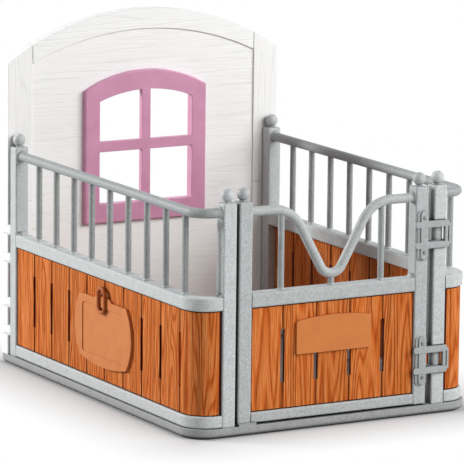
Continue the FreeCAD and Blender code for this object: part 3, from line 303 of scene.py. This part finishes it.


# Plank panels: boards moulded in brown ABS with deep wood grain and a wash of a darker colour that
# stays in the grain; their corners, slots' sides and front ends get painted shade as well. They sit in the
# fences and the gate with a shadow gap.

def brown_planks(name, pitch, joint, along, last, end):
    """Brown grained ABS: each plank has its own figure, with lines about 1.5 mm apart, and its own tone.
    A dark red wash fills the joints, which follow each other along the named axis. The same dark red is
    painted on the sides of the slots, as far as last, partly as wash and partly as painted shade, and on
    the board's front end, nearer to the middle than end, as a painted shadow of the front post."""
    material, tree, place = new_material(name)
    shifted = put(tree, "ShaderNodeVectorMath", {0: place, 1: [-shift for shift in joint]},
                  operation="ADD").outputs["Vector"]
    number = put(tree, "ShaderNodeVectorMath", {0: shifted, 1: pitch}, operation="SNAP").outputs["Vector"]
    chance = put(tree, "ShaderNodeTexWhiteNoise", {"Vector": number}).outputs
    apart = put(tree, "ShaderNodeVectorMath", {0: chance["Color"], 1: (1.0, 1.0, 1.0), 2: place},
                operation="MULTIPLY_ADD").outputs["Vector"]
    fibre_size, figure_size = (0.9 * MM, 0.9 * MM, 14 * MM), (9 * MM, 9 * MM, 130 * MM)
    grain = grain_lines(tree, apart, fibre_size, figure_size, lines=14, groove=0.9, fibre_share=0.45)
    colour = put(tree, "ShaderNodeValToRGB", {"Fac": grain}, [
        (0.1, "#A84A16"), (0.4, "#C46426"), (0.7, "#D07234"), (0.95, "#E08C50")]).outputs["Color"]
    tone = put(tree, "ShaderNodeMapRange", {
        "Value": chance["Value"], "To Min": 0.93, "To Max": 1.05}).outputs["Result"]
    toned = put(tree, "ShaderNodeMix", {"Factor": 1.0, "A": colour, "B": tone},
                data_type="RGBA", blend_type="MULTIPLY").outputs["Result"]

    # where the dark red lies: wash in the joints, wash and painted shade on the slots' sides, and a painted
    # shadow at the board's front end
    step = put(tree, "ShaderNodeSeparateXYZ", {"Vector": shifted}).outputs[along]
    from_joint = put(tree, "ShaderNodeMath", {0: step, 1: pitch["XYZ".index(along)] / 2},
                     operation="PINGPONG").outputs["Value"]
    groove = put(tree, "ShaderNodeMapRange", {
        "Value": from_joint, "From Min": 0.15 * MM, "From Max": 0.5 * MM, "To Min": 0.4,
        "To Max": 0.0}).outputs["Result"]
    normal = put(tree, "ShaderNodeTexCoord").outputs["Normal"]
    facing = put(tree, "ShaderNodeSeparateXYZ", {"Vector": normal}).outputs[along]
    sideways = put(tree, "ShaderNodeMath", {0: facing}, operation="ABSOLUTE").outputs["Value"]
    sideways_least = 0.7
    side = put(tree, "ShaderNodeMath", {0: sideways, 1: sideways_least},
               operation="GREATER_THAN").outputs["Value"]
    straight = put(tree, "ShaderNodeMath", {0: step, 1: last}, operation="GREATER_THAN").outputs["Value"]
    slot = put(tree, "ShaderNodeMath", {0: side, 1: straight}, operation="MULTIPLY").outputs["Value"]
    wash_and_slot_shade = put(tree, "ShaderNodeMath", {0: groove, 1: slot}, operation="MAXIMUM").outputs["Value"]
    sides = put(tree, "ShaderNodeVectorMath", {0: place}, operation="ABSOLUTE").outputs["Vector"]
    across = put(tree, "ShaderNodeSeparateXYZ", {"Vector": sides}).outputs["X"]
    post_shadow_strip = put(tree, "ShaderNodeMath", {0: across, 1: end}, operation="LESS_THAN").outputs["Value"]
    dark = put(tree, "ShaderNodeMath", {0: wash_and_slot_shade, 1: post_shadow_strip}, operation="MAXIMUM").outputs["Value"]
    wash_and_shade_colour = put(tree, "ShaderNodeMix", {"Factor": dark, "A": toned, "B": linear("#4A1204")},
                  data_type="RGBA").outputs["Result"]

    # the corners turn to a painted shade of dark red-brown
    shader = put(tree, "ShaderNodeBsdfPrincipled", {
        "Base Color": corner_shade(tree, wash_and_shade_colour, 3 * MM, "#3A0E04"), "Roughness": 0.75, "IOR": 1.5,
        "Specular IOR Level": 0.1,
        "Normal": relief(tree, grain, strength=1.0, depth=0.8 * MM, edge=0.3 * MM)})
    put(tree, "ShaderNodeOutputMaterial", {"Surface": shader.outputs["BSDF"]})
    return material


# The joints are where the CAD grooves are: under the bars of the fence, and about the middle of
# the gate. Along the other axes one cell holds the whole board.
CELL = 10.0
# the painted shadow on the boards' front ends, beside the front posts, is this wide
bays, end_shadow_width = 7, 1.4 * MM
fence_pitch = (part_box("left_bar_1")[0].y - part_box("left_bar_8")[0].y) / bays
fence_joint = middle("left_bar_1").y
# the board starts to bend half a plank past the eighth bar
fence_last = -(bays + 0.5) * fence_pitch
fence_end = abs(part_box("left_front_post")[0].x) + end_shadow_width
wear(brown_planks("brown_fence_planks", (CELL, fence_pitch, CELL), (CELL / 2, fence_joint, CELL / 2), "Y",
                  fence_last, fence_end), "left_panel", "right_panel")
# the gate's slots are this far apart in the CAD; its board is straight to its ends, which get no painted
# shadow
gate_pitch = 18.07 * MM
gate_joint = middle("gate_panel").x + gate_pitch / 2
wear(brown_planks("brown_gate_planks", (gate_pitch, CELL, CELL), (gate_joint, CELL / 2, CELL / 2), "X",
                  last=-1.0, end=0.0), "gate_panel")


# Plaques and tether ring: smooth, blank plates of the same brown ABS, moulded on the planks. The
# ring lies on the left plaque and stands up past its crest; it wears a darker copy of the plaques'
# tan with a deeper corner shade, both painted shade.

def tan_smooth(name, dark, light, reach):
    """Plain tan ABS: a very soft cloud about 7 mm across and a fine skin. Painted shade darkens its
    corners.
    """
    material, tree, place = new_material(name)
    cloud = put(tree, "ShaderNodeTexNoise", {
        "Vector": place, "Scale": 1 / (7 * MM), "Detail": 2.0}).outputs["Fac"]
    colour = put(tree, "ShaderNodeValToRGB", {"Fac": cloud}, [(0.3, dark), (0.7, light)]).outputs["Color"]
    # the skin's grain is about 0.1 mm on the toy and is drawn 0.5 mm wide so that it shows
    skin = put(tree, "ShaderNodeTexNoise", {
        "Vector": place, "Scale": 1 / (0.5 * MM), "Detail": 1.0}).outputs["Fac"]
    shader = put(tree, "ShaderNodeBsdfPrincipled", {
        "Base Color": corner_shade(tree, colour, reach, "#4E1404"), "Roughness": 0.55, "IOR": 1.5,
        "Specular IOR Level": 0.3,
        "Normal": relief(tree, skin, strength=0.15, depth=0.05 * MM, edge=0.4 * MM)})
    put(tree, "ShaderNodeOutputMaterial", {"Surface": shader.outputs["BSDF"]})
    return material


wear(tan_smooth("tan_plaque_abs", "#C67439", "#CD7D40", reach=2 * MM), "left_plaque", "gate_plaque")
# a darker copy of the tan, with deeper corner shade: painted shade on the ring
wear(tan_smooth("tan_ring_shaded_abs", "#A4501E", "#B05C28", reach=4 * MM), "left_tether_ring")


# Gate: a grey moulded frame with a dipped top rail, hung on the right front post. Its bars and
# rails run into each other with the same flares and hollow corners as the fences.

# the gate's frame wears a darker copy of the fences' grey: painted shade
gate_shaded_grey = moulded_grey("grey_gate_shaded_abs", "#9A9E9E", "#C4C8C8")
gate_bars = ("gate_bar_left", "gate_bar_right", "gate_bar_stub")
wear(gate_shaded_grey, "gate_latch_post", "gate_hinge_post", "gate_top_rail", "gate_mid_rail", "gate_bottom_rail")
wear(bars_shaded_grey, *gate_bars)
mesh = bmesh.new()
bar_flares(mesh, gate_bars)
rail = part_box("gate_top_rail")
rail_radius = (rail[1].y - rail[0].y) / 2
gate_y, rail_z, ledge_z = middle("gate_top_rail").y, rail[1].z - rail_radius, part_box("gate_mid_rail")[1].z
for post_x, turn in ((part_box("gate_latch_post")[1].x, 90), (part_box("gate_hinge_post")[0].x, -90)):
    flare(mesh, at(post_x, gate_y, rail_z, turn), rail_radius)
    corner_web(mesh, at(post_x, gate_y, ledge_z, 90 - turn, "Z"), web_width)
mesh_piece("gate_flares", mesh, gate_shaded_grey, "gate")


# Hinge clasps and rivets: small mouldings of a slightly darker, duller grey, riveted to the
# gate's post and snapped round the necks of the fence post.

wear(moulded_grey("grey_clasp_abs", "#929696", "#B6BABA"), "upper_hinge_clasp", "lower_hinge_clasp")
wear(moulded_grey("grey_rivet_abs", "#80807F", "#9C9C9B", roughness=0.4), "hinge_rivets")


# Studio: a pale floor that runs on to a white background, soft lamps and the camera, which
# stands where the photograph was taken from.

def background_rays(tree):
    """1 for the rays that see the background: straight from the camera, mirrored or through glass."""
    ray = put(tree, "ShaderNodeLightPath").outputs
    bent = put(tree, "ShaderNodeMath", {0: ray["Is Glossy Ray"], 1: ray["Is Transmission Ray"]},
               operation="MAXIMUM").outputs["Value"]
    return put(tree, "ShaderNodeMath", {0: ray["Is Camera Ray"], 1: bent},
               operation="MAXIMUM").outputs["Value"]


def studio_floor():
    """White paper: matt near the stall, so that it keeps the shadow, and running on to plain white. Its
    glow fades in over a short run from the base, so the paper is darker next to the base: a painted shade
    on top of the real shadow.
    """
    material, tree, place = new_material("white_paper_floor")
    shadow_run, run_power, half_floor = 45 * MM, 0.5, 6.0
    half_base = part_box("base_plate")[1].copy()
    half_base.z = 0.0
    side = put(tree, "ShaderNodeVectorMath", {0: place}, operation="ABSOLUTE").outputs["Vector"]
    beyond = put(tree, "ShaderNodeVectorMath", {0: side, 1: half_base},
                 operation="SUBTRACT").outputs["Vector"]
    outside = put(tree, "ShaderNodeVectorMath", {0: beyond, 1: (0, 0, 0)},
                  operation="MAXIMUM").outputs["Vector"]
    away = put(tree, "ShaderNodeVectorMath", {0: outside}, operation="LENGTH").outputs["Value"]
    run = put(tree, "ShaderNodeMapRange", {"Value": away, "From Max": shadow_run}).outputs["Result"]
    share = put(tree, "ShaderNodeMath", {0: run, 1: run_power}, operation="POWER").outputs["Value"]
    seen = put(tree, "ShaderNodeMath", {0: share, 1: background_rays(tree)},
               operation="MULTIPLY").outputs["Value"]
    matt = put(tree, "ShaderNodeBsdfDiffuse", {"Color": linear("#CBCBCB")}).outputs["BSDF"]
    glow = put(tree, "ShaderNodeEmission", {
        "Color": linear("#FFFFFF"), "Strength": 1.0}).outputs["Emission"]
    paper = put(tree, "ShaderNodeMixShader", {"Fac": seen, 1: matt, 2: glow}).outputs["Shader"]
    put(tree, "ShaderNodeOutputMaterial", {"Surface": paper})
    data = bpy.data.meshes.new("studio_floor")
    mesh = bmesh.new()
    bmesh.ops.create_grid(mesh, x_segments=1, y_segments=1, size=half_floor)
    mesh.to_mesh(data)
    mesh.free()
    data.materials.append(material)
    plane = bpy.data.objects.new("studio_floor", data)
    bpy.context.scene.collection.objects.link(plane)


studio_floor()

world = bpy.data.worlds.new("white_studio")
bpy.context.scene.world = world
world.use_nodes = True
sky = world.node_tree
sky.nodes.clear()
# a weak fill on the stall, and plain white where the background is seen
strength = put(sky, "ShaderNodeMapRange", {
    "Value": background_rays(sky), "To Min": 0.2, "To Max": 1.0}).outputs["Result"]
white = put(sky, "ShaderNodeBackground", {"Color": linear("#FFFFFF"), "Strength": strength})
put(sky, "ShaderNodeOutputWorld", {"Surface": white.outputs["Background"]})


def soft_lamp(name, place, aim, size, watts):
    """A round area lamp, turned to its aim."""
    data = bpy.data.lights.new(name, "AREA")
    data.shape = "DISK"
    data.size = size
    data.energy = watts
    lamp = bpy.data.objects.new(name, data)
    lamp.location = place
    lamp.rotation_euler = (Vector(aim) - Vector(place)).to_track_quat("-Z", "Y").to_euler()
    bpy.context.scene.collection.objects.link(lamp)


# Raking lamps behind on the left and in front on the right, and one high in front.
soft_lamp("left_lamp", (-1.45, 1.35, 0.8), aim=(0, 0, 0.06), size=0.4, watts=45.0)
soft_lamp("right_lamp", (1.1, -0.9, 0.7), aim=(0, 0, 0.08), size=0.9, watts=13.0)
soft_lamp("front_lamp", (0.4, -1.25, 0.9), aim=(0, 0.05, 0.1), size=0.9, watts=10.5)

# The camera's place and turn come from edges of the stall measured in the photograph.
camera_place = (-0.9969, -1.7632, 0.4498)
azimuth, elevation, roll = math.radians(29.464), math.radians(10.456), math.radians(0.616)
level = math.cos(elevation)
ahead = Vector((math.sin(azimuth) * level, math.cos(azimuth) * level, -math.sin(elevation)))
right = Vector((math.cos(azimuth), -math.sin(azimuth), 0))
up = right.cross(ahead)
camera_x = right * math.cos(roll) + up * math.sin(roll)
camera_y = up * math.cos(roll) - right * math.sin(roll)
camera_turn = Matrix((camera_x, camera_y, -ahead)).transposed().to_4x4()
lens = bpy.data.cameras.new("photo_camera")
lens.sensor_width = 36.0
lens.lens = 328.65
lens.clip_end = 20.0
camera = bpy.data.objects.new("photo_camera", lens)
camera.matrix_world = Matrix.Translation(camera_place) @ camera_turn
bpy.context.scene.collection.objects.link(camera)
bpy.context.scene.camera = camera
bpy.context.scene.view_settings.view_transform = "Standard"
